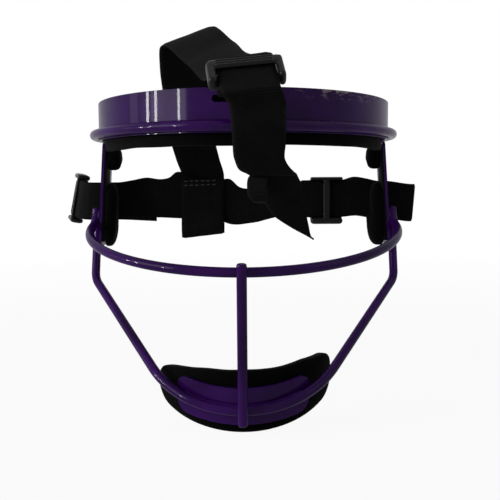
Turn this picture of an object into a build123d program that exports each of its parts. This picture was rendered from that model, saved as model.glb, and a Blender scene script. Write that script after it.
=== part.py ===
from build123d import *
import math
import os

# Fielder's face guard, worn position. +X is the viewer's right, the front faces -Y, +Z is up.
# The origin is the centre of the head opening, at the height of the rim wire. Lengths in mm.

# Steel stock
wire_diameter = 4.76
sheet_thickness = 1.6
weld_gap = 0.1

# Brow band: half an ellipse in plan, with a straight leg at each end
band_half_width = 81.3
band_semi_depth = 108.0
band_centre_y = 13.5
band_leg_length = 13.0
band_height = 20.0
band_top_z = 17.0
band_corner_radius = 6.0
band_slot_length = 26.0
band_slot_height = 3.2
band_slot_corner = 1.5
band_rail_height = 3.4

# Rim wire round the foot of the band
rim_end_setback = 2.0

# Side plates
plate_front_y = 1.0
plate_depth = 25.0
plate_bottom_z = -62.0
plate_tab_rise = 13.0
plate_tab_gap = 0.4
plate_lean = 3.7
plate_corner_radius = 6.0
plate_tab_radius = 2.5
strap_slot_height = 24.0
strap_slot_width = 5.2
strap_slot_corner = 1.5

# Cheek bar, in a plane that falls towards the front
cheek_half_width = 85.2
cheek_front_y = -92.5
cheek_centre_y = -3.0
cheek_front_z = -66.1
cheek_side_z = -50.0
cheek_end_y = 4.5
cheek_end_z = -40.0
cheek_end_handle = 5.5

# Jaw wire
jaw_top_z = -41.0
jaw_top_y = 11.5
jaw_plate_foot_z = -60.0
jaw_plate_foot_y = 10.5
jaw_corner_half_width = 85.3
jaw_corner_y = 1.0
jaw_corner_z = -80.5
jaw_foot_radius = 30.0
jaw_corner_radius = 12.0
bow_half_width = 45.5
bow_start_y = -60.4
bow_start_z = -117.6
bow_front_y = -84.4
bow_front_z = -133.0
bow_handle = 18.5

# Nose bar
nose_cap_rise = 4.7
nose_foot_drop = 6.0

# Chin plate and chin pad: arcs round one upright axis
chin_radius = 54.0
chin_plate_half_width = 32.0
chin_plate_top_drop = 10.2
chin_plate_height = 17.7
chin_plate_end_rise = 5.0
chin_plate_corner = 5.0
chin_pad_half_width = 41.5
chin_pad_thickness = 9.0
chin_pad_top_z = -113.8
chin_pad_bottom_z = -145.4
chin_pad_bottom_slope = 0.47
chin_pad_corner = 6.5
chin_pad_round = 3.2

# Pads and hook-and-loop tape
tape_thickness = 1.3
pad_gap = 0.3
brow_pad_thickness = 9.0
brow_pad_bottom_z = -8.8
brow_pad_top_z = 14.9
brow_pad_round = 3.6
brow_pad_top_round = 4.4
brow_pad_end_gap = 1.2
brow_tape_bottom_z = -2.0
brow_tape_top_z = 8.6
plate_tape_front_margin = 0.4
plate_tape_width = 12.6
plate_tape_top_z = -4.6
plate_tape_bottom_z = -59.5
temple_pad_thickness = 8.4
temple_pad_height = 14.5
temple_pad_centre_z = -12.2
temple_pad_round = 4.4
cheek_pad_thickness = 6.2
cheek_pad_height = 36.5
cheek_pad_width = 14.6
cheek_pad_top_z = -25.6
cheek_pad_round = 2.8

# Straps
strap_thickness = 1.3
strap_layer_pitch = 1.8
strap_centre_z = -36.5
back_strap_width = 22.0
back_strap_y = 18.0
left_tail_x = -52.0
right_tail_x = 34.0
right_loop_reach = 17.2
right_loop_lean = 4.6
right_loop_drop = 2.0
left_loop_start = 7.0
left_bend_radius = 9.7
left_bend_angle = 72.0
left_loop_lean = 11.0
left_loop_length = 26.0
bend_steps = 6

# Strap adjusters
adjuster_length = 18.8
adjuster_end_width = 2.3
adjuster_bar = 1.8
adjuster_clearance = 0.45
adjuster_corner = 3.6
right_adjuster_x = 48.3
left_adjuster_reach = 11.2

# Top strap and its adjuster
top_strap_width = 25.0
top_adjuster_length = 13.4
top_adjuster_grip = 5.4
top_adjuster_end_width = 3.0
top_adjuster_side_gap = 1.1
top_adjuster_x = 2.5
top_adjuster_reach = 18.5
top_adjuster_rise = 4.0
top_adjuster_slope = 46.0
top_adjuster_lean = 8.0
top_strap_offset = 0.6
top_run_above = 9.0
top_run_below = 11.0
top_run_ease = 0.6
anchor_width = 21.0
anchor_x = 0.6
anchor_thickness = 1.0
anchor_clearance = 0.3
sewn_loop_x = -24.4
sewn_loop_drop = 9.5
sewn_loop_slant = 1.4
sewn_loop_gap = 0.45
ribbon_steps = 4

# Places worked out from the sizes above
wire_radius = wire_diameter / 2
band_end_y = band_centre_y + band_leg_length
band_bottom_z = band_top_z - band_height
band_front_y = band_centre_y - band_semi_depth
band_inner_x = band_half_width - sheet_thickness
plate_outer_x = band_inner_x
plate_inner_x = plate_outer_x - sheet_thickness
plate_rear_y = plate_front_y + plate_depth
plate_bend_z = band_bottom_z - plate_tab_gap
lean = math.radians(plate_lean)
slot_centre_y = back_strap_y + strap_layer_pitch / 2
return_layer_y = back_strap_y + strap_layer_pitch
slot_top_z = band_top_z - band_rail_height
slot_bottom_z = slot_top_z - band_slot_height
chin_axis_y = bow_front_y + chin_radius
layers_thickness = strap_layer_pitch + strap_thickness
adjuster_gap = layers_thickness + 2 * adjuster_clearance
adjuster_span = back_strap_width + 2 * adjuster_clearance

os.makedirs("parts", exist_ok=True)


def save(name, shape):
    """Write one sub-part."""
    export_step(shape, f"parts/{name}.step")


def save_pair(name, right_shape):
    """Write the right-hand sub-part and its mirror image."""
    save(f"right_{name}", right_shape)
    save(f"left_{name}", mirror(right_shape, about=Plane.YZ))


def side_plane(x, y, z):
    """Plane seen from +X: its own X runs back, its own Y runs up."""
    return Plane(origin=(x, y, z), x_dir=(0, 1, 0), z_dir=(1, 0, 0))


def front_plane(x, y, z):
    """Plane seen from the front: its own X runs right, its own Y runs up."""
    return Plane(origin=(x, y, z), x_dir=(1, 0, 0), z_dir=(0, -1, 0))


def tube(edges, diameter):
    """Round bar along a run of tangent edges."""
    path = Wire(edges)
    section = Plane(origin=path @ 0, z_dir=path % 0) * Circle(diameter / 2)
    return sweep(section, path=path)


def ring_arc(inset, end_y):
    """Front of the head opening in plan, from one side to the other, ending at end_y."""
    semi_width = band_half_width - inset
    semi_depth = band_semi_depth - inset
    short = math.degrees(math.asin(max(0, band_centre_y - end_y) / semi_depth))
    span = 180 - 2 * short
    return EllipticalCenterArc((0, band_centre_y), semi_width, semi_depth, 180 + short, arc_size=span)


def ring_edges(inset, end_y):
    """The same curve with its straight legs, where end_y lies behind the ellipse's centre."""
    arc = ring_arc(inset, end_y)
    if end_y <= band_centre_y:
        return [arc]
    side = band_half_width - inset
    left = Line((-side, end_y), (-side, band_centre_y))
    right = Line((side, band_centre_y), (side, end_y))
    return [left, arc, right]


def ring_wall(outer_inset, inner_inset, end_y, bottom_z, top_z):
    """Upright wall between two insets of the head opening."""
    outer = ring_edges(outer_inset, end_y)
    inner = ring_edges(inner_inset, end_y)
    left = Line(inner[0] @ 0, outer[0] @ 0)
    right = Line(inner[-1] @ 1, outer[-1] @ 1)
    face = make_face(outer + inner + [left, right])
    return extrude(Pos(0, 0, bottom_z) * face, top_z - bottom_z)


def side_profile(points, radii):
    """Rounded outline from (y, z) corners and one radius for each."""
    corners = [(*point, 0) for point in points]
    outline = FilletPolyline(*corners, radius=radii, close=True)
    return make_face(outline)


# Frame

def brow_band():
    """Strip round the forehead, with a long slot for the top strap near its upper edge."""
    wall = ring_wall(0, sheet_thickness, band_end_y, band_bottom_z, band_top_z)
    middle_y = (band_front_y + band_end_y) / 2
    length = band_end_y - band_front_y
    middle_z = (band_bottom_z + band_top_z) / 2
    outline = Rectangle(length + 2 * band_corner_radius, band_height)
    outline = Pos(-band_corner_radius, 0) * outline
    rear = outline.vertices().sort_by(Axis.X)[-2:]
    outline = fillet(rear, band_corner_radius)
    side = extrude(side_plane(0, middle_y, middle_z) * outline, band_half_width * 2, both=True)
    band = wall & side
    slot = RectangleRounded(band_slot_length, band_slot_height, band_slot_corner)
    slot_z = (slot_top_z + slot_bottom_z) / 2
    cutter = extrude(front_plane(0, band_front_y, slot_z) * slot, band_corner_radius * 2, both=True)
    return band - cutter


def brow_rim_wire():
    """Round wire welded outside the band's lower edge."""
    inset = -wire_radius - weld_gap
    return tube(ring_edges(inset, band_end_y - rim_end_setback), wire_diameter)


def plate_outer_at(z):
    """Outer face of the right-hand plate at a height."""
    return plate_outer_x + max(0, plate_bend_z - z) * math.tan(lean)


def side_wire_x(z):
    """Centre of a wire that lies along the plate's outer face."""
    return plate_outer_at(z) + (wire_radius + weld_gap) / math.cos(lean)


def lean_out(shape):
    """Turn an upright right-hand piece to the slope of the plate's blade."""
    bend = Axis((plate_outer_x, 0, plate_bend_z), (0, 1, 0))
    return shape.rotate(bend, -plate_lean)


def side_plate():
    """Right-hand plate: a tab inside the band's leg, and a blade leaning out with the strap slot."""
    tab_top_z = band_bottom_z + plate_tab_rise
    tab_points = [
        (band_centre_y, tab_top_z),
        (plate_rear_y, tab_top_z),
        (plate_rear_y, plate_bend_z),
        (band_centre_y, plate_bend_z),
    ]
    tab_radii = [plate_tab_radius] * 2 + [0, 0]
    blade_top_z = plate_bend_z + 2 * sheet_thickness * math.sin(lean)
    blade_points = [
        (plate_rear_y, blade_top_z),
        (plate_rear_y, plate_bottom_z),
        (plate_front_y, plate_bottom_z),
        (plate_front_y, blade_top_z),
    ]
    blade_radii = [0, plate_corner_radius, plate_corner_radius, plate_tab_radius]
    plane = side_plane(plate_inner_x, 0, 0)
    tab = extrude(plane * side_profile(tab_points, tab_radii), sheet_thickness)
    blade = extrude(plane * side_profile(blade_points, blade_radii), sheet_thickness)
    slot = RectangleRounded(strap_slot_width, strap_slot_height, strap_slot_corner)
    place = side_plane(plate_inner_x, slot_centre_y, strap_centre_z)
    blade -= extrude(place * slot, sheet_thickness * 2, both=True)
    return tab + lean_out(blade)


def cheek_bar():
    """Wire from plate to plate round the front, its ends turned up onto the plates."""
    fall = math.atan2(cheek_side_z - cheek_front_z, cheek_centre_y - cheek_front_y)
    back = Vector(0, math.cos(fall), math.sin(fall))
    reach = (cheek_centre_y - cheek_front_y) / math.cos(fall)
    plane = Plane(
        origin=(0, cheek_centre_y, cheek_side_z),
        x_dir=(1, 0, 0),
        z_dir=(0, -math.sin(fall), math.cos(fall)),
    )
    arc = plane * EllipticalCenterArc((0, 0), cheek_half_width, reach, 180, arc_size=180)
    up = Vector(0, math.sin(fall), math.cos(fall) * 2).normalized()
    ends = []
    for side in (-1, 1):
        start = Vector(side * cheek_half_width, cheek_centre_y, cheek_side_z)
        finish = Vector(side * side_wire_x(cheek_end_z), cheek_end_y, cheek_end_z)
        first = start + back * cheek_end_handle
        last = finish - up * cheek_end_handle
        ends.append([start, first, last, finish])
    left = Bezier(*reversed(ends[0]))
    right = Bezier(*ends[1])
    return tube([left, arc, right], wire_diameter)


def jaw_points():
    """Corners of the jaw wire's left half: plate end, plate foot, corner, start of the bow."""
    return [
        Vector(-side_wire_x(jaw_top_z), jaw_top_y, jaw_top_z),
        Vector(-side_wire_x(jaw_plate_foot_z), jaw_plate_foot_y, jaw_plate_foot_z),
        Vector(-jaw_corner_half_width, jaw_corner_y, jaw_corner_z),
        Vector(-bow_half_width, bow_start_y, bow_start_z),
    ]


def jaw_wire():
    """Wire down both plates, forward along the jaw and round the chin."""
    points = jaw_points()
    side = FilletPolyline(*points, radius=[jaw_foot_radius, jaw_corner_radius])
    run = points[3] - points[2]
    plan_length = math.hypot(run.X, run.Y)
    front = Vector(0, bow_front_y, bow_front_z)
    bow = Bezier(
        points[3],
        points[3] + run * (bow_handle / plan_length),
        front - Vector(bow_handle, 0, 0),
        front,
    )
    half = side.edges() + [bow]
    other = [edge.mirror(Plane.YZ) for edge in half]
    return tube(list(half) + other, wire_diameter)


def nose_bar():
    """Straight bar welded to the front of the cheek bar and the jaw wire."""
    offset = wire_diameter + weld_gap
    top_joint = Vector(0, cheek_front_y - offset, cheek_front_z)
    foot_joint = Vector(0, bow_front_y - offset, bow_front_z)
    down = (foot_joint - top_joint).normalized()
    top = top_joint - down * nose_cap_rise
    length = (foot_joint - top_joint).length + nose_cap_rise + nose_foot_drop
    section = Plane(origin=top, z_dir=down) * Circle(wire_radius)
    bar = extrude(section, length)
    ends = bar.edges().filter_by(GeomType.CIRCLE)
    return fillet(ends, wire_radius / 2)


def chin_sector(outer_radius, inner_radius, half_width, bottom_z, top_z):
    """Front of an upright ring round the chin's axis, its ends cut square to the arc."""
    spread = math.asin(half_width / outer_radius)
    length = 2 * outer_radius / math.cos(spread)
    side = (length * math.sin(spread), -length * math.cos(spread))
    wedge = make_face(Polyline((0, 0), side, (-side[0], side[1]), close=True))
    ring = Circle(outer_radius) - Circle(inner_radius)
    return extrude(Pos(0, chin_axis_y, bottom_z) * (ring & wedge), top_z - bottom_z)


def front_cutter(outline):
    """Front view outline, run back through the chin."""
    return extrude(front_plane(0, chin_axis_y, 0) * outline, 2 * chin_radius)


def chin_plate():
    """Curved cup behind the jaw wire, its ends higher than its middle."""
    outer = chin_radius - wire_radius - weld_gap
    top_z = bow_front_z + chin_plate_top_drop
    bottom_z = top_z - chin_plate_height
    half = chin_plate_half_width
    end_top_z = top_z + chin_plate_end_rise
    end_bottom_z = bottom_z + chin_plate_end_rise
    sides = [
        Line((-half, end_bottom_z), (-half, end_top_z)),
        ThreePointArc((-half, end_top_z), (0, top_z), (half, end_top_z)),
        Line((half, end_top_z), (half, end_bottom_z)),
        ThreePointArc((half, end_bottom_z), (0, bottom_z), (-half, end_bottom_z)),
    ]
    outline = make_face(sides)
    outline = fillet(outline.vertices(), chin_plate_corner)
    wall = chin_sector(outer, outer - sheet_thickness, half * 1.1, bottom_z, end_top_z)
    return wall & front_cutter(outline)


def chin_tape():
    """Fastening tape between the chin plate and its pad."""
    outer = chin_radius - wire_radius - weld_gap - sheet_thickness
    top_z = bow_front_z + chin_plate_top_drop
    middle_z = top_z - chin_plate_height / 2 + chin_plate_end_rise / 2
    height = chin_plate_height / 2
    half = chin_plate_half_width - chin_plate_corner
    return chin_sector(outer, outer - tape_thickness, half, middle_z - height / 2, middle_z + height / 2)


def chin_pad():
    """Thick curved cushion, larger than its plate all round."""
    outer = chin_radius - wire_radius - weld_gap - sheet_thickness - tape_thickness - pad_gap
    half = chin_pad_half_width
    wall = chin_sector(outer, outer - chin_pad_thickness, half, chin_pad_bottom_z, chin_pad_top_z)
    front_y = chin_axis_y - outer
    rise = outer * chin_pad_bottom_slope
    profile = [
        (front_y, chin_pad_bottom_z),
        (chin_axis_y, chin_pad_bottom_z + rise),
        (chin_axis_y, chin_pad_top_z),
        (front_y, chin_pad_top_z),
    ]
    side = make_face(Polyline(*profile, close=True))
    pad = wall & extrude(side_plane(0, 0, 0) * side, chin_radius, both=True)
    corners = [edge for edge in pad.edges() if is_radial(edge)]
    pad = fillet(corners, chin_pad_corner)
    inner = [edge for edge in pad.edges() if distance_from_chin(edge) < outer - chin_pad_thickness / 2]
    return fillet(inner, chin_pad_round)


def is_radial(edge):
    """Whether an edge runs level, straight out from the chin's axis."""
    run = (edge @ 1) - (edge @ 0)
    level = abs(run.Z) < chin_pad_thickness / 4
    inner = min(plan_radius(edge @ 0), plan_radius(edge @ 1))
    outer = max(plan_radius(edge @ 0), plan_radius(edge @ 1))
    return level and outer - inner > chin_pad_thickness / 2


def plan_radius(point):
    """Plan distance of a point from the chin's axis."""
    return math.hypot(point.X, point.Y - chin_axis_y)


def distance_from_chin(edge):
    """Plan distance of an edge's middle from the chin's axis."""
    return plan_radius(edge @ 0.5)


# Pads on the band and the side plates

def brow_tape():
    """Loop tape on the inside of the band, below the strap slot."""
    end_y = plate_front_y - brow_pad_end_gap
    inset = sheet_thickness
    return ring_wall(inset, inset + tape_thickness, end_y, brow_tape_bottom_z, brow_tape_top_z)


def brow_pad():
    """Forehead cushion with a crowned inner face, hanging below the rim wire."""
    inset = sheet_thickness + tape_thickness + pad_gap
    end_y = plate_front_y - brow_pad_end_gap
    pad = ring_wall(inset, inset + brow_pad_thickness, end_y, brow_pad_bottom_z, brow_pad_top_z)
    level = pad.edges().filter_by(GeomType.ELLIPSE)
    inner = level.sort_by(lambda edge: edge.length)[:2]
    rounded = fillet(inner, brow_pad_round)
    outer = rounded.edges().filter_by(GeomType.ELLIPSE).sort_by(lambda edge: edge.length)[-2:]
    top = max(outer, key=lambda edge: edge.center().Z)
    rounded = fillet(top, brow_pad_top_round)
    outer = rounded.edges().filter_by(GeomType.ELLIPSE).sort_by(lambda edge: edge.length)[-2:]
    foot = min(outer, key=lambda edge: edge.center().Z)
    return fillet(foot, brow_pad_round / 2)


def plate_tape():
    """Right-hand strip of loop tape down the inner face of the side plate."""
    height = plate_tape_top_z - plate_tape_bottom_z
    middle_y = plate_front_y + plate_tape_front_margin + plate_tape_width / 2
    middle_z = (plate_tape_top_z + plate_tape_bottom_z) / 2
    outline = RectangleRounded(plate_tape_width, height, plate_tape_width / 4)
    place = side_plane(plate_inner_x - tape_thickness, middle_y, middle_z)
    return lean_out(extrude(place * outline, tape_thickness))


def side_cushion(width, height, thickness, centre_z, rounding):
    """Right-hand cushion on the plate's tape, crowned towards the head."""
    middle_y = plate_front_y + plate_tape_front_margin + plate_tape_width / 2
    outline = SlotOverall(height, width, rotation=90) if height > width else Circle(height / 2)
    face_x = plate_inner_x - tape_thickness - pad_gap
    place = side_plane(face_x - thickness, middle_y, centre_z)
    body = extrude(place * outline, thickness)
    crown = body.faces().sort_by(Axis.X)[0]
    body = fillet(crown.edges(), rounding)
    back = body.faces().sort_by(Axis.X)[-1]
    return lean_out(fillet(back.edges(), rounding / 4))


def temple_pad():
    """Small round cushion just below the band."""
    return side_cushion(
        temple_pad_height, temple_pad_height, temple_pad_thickness, temple_pad_centre_z, temple_pad_round
    )


def cheek_pad():
    """Long cushion beside the strap slot."""
    centre_z = cheek_pad_top_z - cheek_pad_height / 2
    return side_cushion(cheek_pad_width, cheek_pad_height, cheek_pad_thickness, centre_z, cheek_pad_round)


# Straps

# Edges of the back strap's main run: a place along X, and the lower and upper edge as shares
# of the strap's width from its middle. It bulges beside the left pad and is twisted in the middle.
back_strap_shares = [
    (-74, -0.46, 0.50),
    (-65, -0.46, 0.56),
    (-58, -0.45, 0.62),
    (-48, -0.45, 0.60),
    (-36, -0.48, 0.55),
    (-17, -0.50, 0.52),
    (-8, -0.64, 0.56),
    (-3, -0.65, 0.36),
    (2, -0.62, 0.31),
    (7, -0.59, 0.33),
    (13, -0.52, 0.40),
    (20, -0.45, 0.48),
    (30, -0.48, 0.50),
    (36, -0.50, 0.50),
    (78, -0.50, 0.50),
]


def strap_row(x, y, low, high):
    """Lower and upper edge of the back strap, from shares of its width."""
    return (
        Vector(x, y, strap_centre_z + low * back_strap_width),
        Vector(x, y, strap_centre_z + high * back_strap_width),
    )


def leaning_row(middle, across):
    """Lower and upper edge round a middle point, along a unit vector across the strap."""
    half = across * (back_strap_width / 2)
    return (middle - half, middle + half)


def right_loop():
    """Rows from the right-hand slot out to the fold and back in to the slot."""
    start = Vector(plate_outer_at(strap_centre_z), slot_centre_y, strap_centre_z)
    fold = start + Vector(right_loop_reach, 0, -right_loop_drop)
    tilt = math.radians(right_loop_lean)
    across = Vector(math.sin(tilt), 0, math.cos(tilt))
    radius = strap_layer_pitch / 2
    front = Vector(0, -radius, 0)
    rows = [leaning_row(start + front, Vector(0, 0, 1))]
    fold_start = fold - Vector(radius, 0, 0)
    for step in range(bend_steps + 1):
        turn = math.pi * step / bend_steps
        place = fold_start + Vector(math.sin(turn), -math.cos(turn), 0) * radius
        rows.append(leaning_row(place, across))
    rows.append(leaning_row(start - front, Vector(0, 0, 1)))
    return rows


def left_loop_line():
    """Middle of the left loop from the slot: places with their run, layer and across directions."""
    place = Vector(-plate_outer_at(strap_centre_z), slot_centre_y, strap_centre_z)
    line = [(place, *left_directions(0))]
    place += Vector(-left_loop_start, 0, 0)
    line.append((place, *left_directions(0)))
    length = left_bend_radius * math.radians(left_bend_angle) / bend_steps
    for step in range(bend_steps):
        run = left_directions((step + 0.5) / bend_steps)[0]
        place = place + run * length
        line.append((place, *left_directions((step + 1) / bend_steps)))
    return line


def left_directions(share):
    """Run, layer and across directions of the left loop, turned back by a share of its bend."""
    turn = math.radians(left_bend_angle) * share
    tilt = math.radians(left_loop_lean) * share
    run = Vector(-math.cos(turn) * math.cos(tilt), math.sin(turn), math.cos(turn) * math.sin(tilt))
    layer = Vector(math.sin(turn) * math.cos(tilt), math.cos(turn), -math.sin(turn) * math.sin(tilt))
    across = Vector(math.sin(tilt), 0, math.cos(tilt))
    return run, layer, across


def left_loop():
    """Rows from the left-hand slot out along the return layer, round the fold and back."""
    line = left_loop_line()
    radius = strap_layer_pitch / 2
    place, run, layer, across = line[-1]
    fold = place + run * (left_loop_length - radius)
    rows = [leaning_row(p + a * radius, w) for p, r, a, w in line]
    for step in range(bend_steps + 1):
        turn = math.pi * step / bend_steps
        centre = fold + layer * (radius * math.cos(turn)) + run * (radius * math.sin(turn))
        rows.append(leaning_row(centre, across))
    rows += [leaning_row(p - a * radius, w) for p, r, a, w in reversed(line)]
    return rows


def back_strap():
    """Elastic strap through both plate slots, doubled back on itself at each end."""
    main = [strap_row(x, back_strap_y, low, high) for x, low, high in back_strap_shares]
    slot_x = plate_inner_x - strap_layer_pitch
    left_tail = [
        strap_row(left_tail_x, return_layer_y, -0.55, 0.45),
        strap_row(-slot_x, return_layer_y, -0.5, 0.5),
    ]
    right_tail = [
        strap_row(slot_x, return_layer_y, -0.5, 0.5),
        strap_row(right_tail_x, return_layer_y, -0.5, 0.5),
    ]
    rows = left_tail + left_loop() + main + right_loop() + right_tail
    return loft_rows([low for low, high in rows], [high for low, high in rows], strap_thickness)


def adjuster(length, span, end_width, gap, front_bars, back_bars):
    """Flat three-bar slide. X runs across the strap, Y along it, Z through it.

    Bars are placed by shares of the length from the middle, in front of the strap or behind it.
    """
    depth = gap + 2 * adjuster_bar
    end_x = span / 2 + end_width / 2
    outline = RectangleRounded(span + 2 * end_width, length, adjuster_corner)
    block = extrude(Pos(0, 0, -depth / 2) * outline, depth)
    window = Box(span, 2 * length, 2 * depth)
    body = block - window
    reach = (length - adjuster_bar) / 2
    for share, side in [(s, 1) for s in front_bars] + [(s, -1) for s in back_bars]:
        place = side_plane(-end_x, share * reach, side * (gap + adjuster_bar) / 2)
        body += extrude(place * RectangleRounded(adjuster_bar, adjuster_bar, adjuster_bar / 3), 2 * end_x)
    return body


def side_adjuster(front, back):
    """Slide for the back strap."""
    return adjuster(adjuster_length, adjuster_span, adjuster_end_width, adjuster_gap, front, back)


def right_strap_adjuster():
    """Slide with its middle bar in front of the strap."""
    place = Plane(
        origin=(right_adjuster_x, slot_centre_y, strap_centre_z), x_dir=(0, 0, 1), z_dir=(0, -1, 0)
    )
    return place * side_adjuster([0], [-1, 1])


def left_strap_adjuster():
    """Slide on the left loop, with the bar nearest the plate outside the strap."""
    start, run, layer, across = left_loop_line()[-1]
    place = Plane(origin=start + run * left_adjuster_reach, x_dir=across, z_dir=-layer)
    return place * side_adjuster([-1], [0, 1])


# Top strap: its adjuster stands in front of the band on a short anchor loop

rail_y = band_front_y + sheet_thickness / 2
rail_z = band_top_z - band_rail_height / 2
slope = math.radians(top_adjuster_slope)
tilt = math.radians(top_adjuster_lean)
strap_up = Vector(-math.sin(tilt), math.cos(tilt) * math.cos(slope), math.cos(tilt) * math.sin(slope))
strap_side = Vector(math.cos(tilt), math.sin(tilt) * math.cos(slope), math.sin(tilt) * math.sin(slope))
strap_out = Vector(0, -math.sin(slope), math.cos(slope))
top_adjuster_y = band_front_y - top_adjuster_reach
top_adjuster_z = band_top_z + top_adjuster_rise
top_adjuster_centre = Vector(top_adjuster_x, top_adjuster_y, top_adjuster_z)
anchor_bar_radius = adjuster_bar / 2 + anchor_clearance
middle_bar_drop = strap_thickness / 2 + anchor_clearance + anchor_thickness + anchor_bar_radius


def top_adjuster():
    """Slide with its broad upper bar in front of the strap and the other two behind it."""
    gap = strap_thickness + 2 * adjuster_clearance
    span = top_strap_width + 2 * top_adjuster_side_gap
    front = gap / 2 + adjuster_bar
    back = middle_bar_drop + adjuster_bar / 2
    outline = RectangleRounded(span + 2 * top_adjuster_end_width, top_adjuster_length, adjuster_corner)
    body = extrude(Pos(0, 0, -back) * outline, front + back)
    body -= Box(span, 2 * top_adjuster_length, 4 * (front + back))
    reach = (top_adjuster_length - adjuster_bar) / 2
    end_x = span / 2 + top_adjuster_end_width / 2
    section = RectangleRounded(adjuster_bar, adjuster_bar, adjuster_bar / 3)
    grip = RectangleRounded(top_adjuster_grip, adjuster_bar, adjuster_bar / 3)
    grip_y = (top_adjuster_length - top_adjuster_grip) / 2
    upper_z = gap / 2 + adjuster_bar / 2
    body += extrude(side_plane(-end_x, grip_y, upper_z) * grip, 2 * end_x)
    body += extrude(side_plane(-end_x, -reach, -upper_z) * section, 2 * end_x)
    body += extrude(side_plane(-end_x, 0, -middle_bar_drop) * Circle(adjuster_bar / 2), 2 * end_x)
    place = Plane(origin=top_adjuster_centre, x_dir=strap_side, z_dir=strap_out)
    return place * body


def anchor_loop():
    """Webbing loop round the adjuster's middle bar and, through the slot, the band's top rail."""
    rail_radius = math.hypot(sheet_thickness, band_rail_height) / 2 + anchor_clearance
    bar = top_adjuster_centre - strap_out * middle_bar_drop
    inner = []
    outer = []
    for end in (-1, 1):
        x = anchor_x + end * anchor_width / 2
        place = bar + strap_side * ((x - bar.X) / strap_side.X)
        plane = side_plane(x, 0, 0)
        inner.append(plane * hull_of((place.Y, place.Z), anchor_bar_radius, (rail_y, rail_z), rail_radius))
        outer.append(plane * hull_of(
            (place.Y, place.Z), anchor_bar_radius + anchor_thickness,
            (rail_y, rail_z), rail_radius + anchor_thickness,
        ))
    return loft(outer, ruled=True) - loft(inner, ruled=True)


def hull_of(first, first_radius, second, second_radius):
    """Outline of a belt round two circles."""
    circles = Pos(*first) * Circle(first_radius) + Pos(*second) * Circle(second_radius)
    return make_hull(circles.edges())


def loft_rows(lefts, rights, thickness):
    """Flat webbing between two edges, from matching places along them."""
    centres = [(a + b) * 0.5 for a, b in zip(lefts, rights)]
    rings = []
    for index, (left, right) in enumerate(zip(lefts, rights)):
        ahead = centres[min(index + 1, len(centres) - 1)]
        behind = centres[max(index - 1, 0)]
        width = right - left
        normal = width.cross(ahead - behind).normalized() * (thickness / 2)
        corners = [left - normal, right - normal, right + normal, left + normal]
        rings.append(Wire.make_polygon(corners, close=True))
    return Solid.make_loft(rings, ruled=True)


def smooth(points):
    """Places along a curve through the points, ribbon_steps to each span."""
    padded = [points[0] * 2 - points[1]] + points + [points[-1] * 2 - points[-2]]
    places = []
    for index in range(1, len(padded) - 2):
        before, start, end, after = padded[index - 1:index + 3]
        for step in range(ribbon_steps):
            t = step / ribbon_steps
            slope_in = (end - before) * 0.5
            slope_out = (after - start) * 0.5
            places.append(
                start * (2 * t**3 - 3 * t**2 + 1)
                + slope_in * (t**3 - 2 * t**2 + t)
                + end * (3 * t**2 - 2 * t**3)
                + slope_out * (t**3 - t**2)
            )
    places.append(points[-1])
    return places


def share_points(origin, size, shares):
    """Left and right edge places from shares of a size, measured from an origin."""
    lefts = [origin + Vector(*left) * size for left, right in shares]
    rights = [origin + Vector(*right) * size for left, right in shares]
    return lefts, rights


# Edges of the top strap, as shares of its width. Each row is a left place and a right place.
# The rear run climbs from the sewn loop and goes over the fold.
rear_run_shares = [
    ((-0.50, 0.06, 0.04), (0.50, 0.06, 0.04)),
    ((-0.60, -0.10, 0.40), (0.41, -0.12, 0.40)),
    ((-0.70, -0.42, 0.84), (0.32, -0.46, 0.84)),
    ((-0.76, -1.02, 1.66), (0.30, -1.08, 1.72)),
    ((-0.77, -1.72, 2.34), (0.28, -1.80, 2.56)),
    ((-0.72, -2.10, 2.64), (0.28, -2.24, 2.94)),
    ((-0.66, -2.30, 2.66), (0.34, -2.46, 2.98)),
]
# The front run comes down to the adjuster, measured from the adjuster
front_run_shares = [
    ((-1.12, 1.72, 0.36), (-0.22, 1.64, 0.76)),
    ((-0.71, 0.62, -0.04), (0.14, 0.62, 0.37)),
]
# The tail below the adjuster, measured from the rim wire's front
tail_shares = [
    ((-0.19, -0.82, 0.30), (0.77, -0.80, 0.31)),
    ((-0.16, -0.62, 0.12), (0.78, -0.60, 0.12)),
    ((-0.15, -0.34, -0.08), (0.79, -0.32, -0.08)),
    ((-0.14, -0.12, -0.34), (0.79, -0.10, -0.34)),
    ((-0.11, 0.06, -0.62), (0.79, 0.09, -0.62)),
    ((-0.02, 0.14, -0.80), (0.89, 0.18, -0.77)),
    ((0.15, 0.25, -0.885), (1.01, 0.30, -0.88)),
    ((0.11, 0.37, -1.03), (1.09, 0.39, -1.05)),
    ((0.14, 0.46, -1.23), (1.13, 0.48, -1.23)),
    ((0.38, 0.52, -1.36), (1.16, 0.56, -1.46)),
    ((0.56, 0.56, -1.60), (1.20, 0.60, -1.64)),
    ((0.78, 0.64, -1.77), (1.245, 0.68, -1.83)),
    ((1.08, 0.68, -1.95), (1.29, 0.72, -2.02)),
    ((1.31, 0.72, -2.06), (1.345, 0.73, -2.085)),
]


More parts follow.
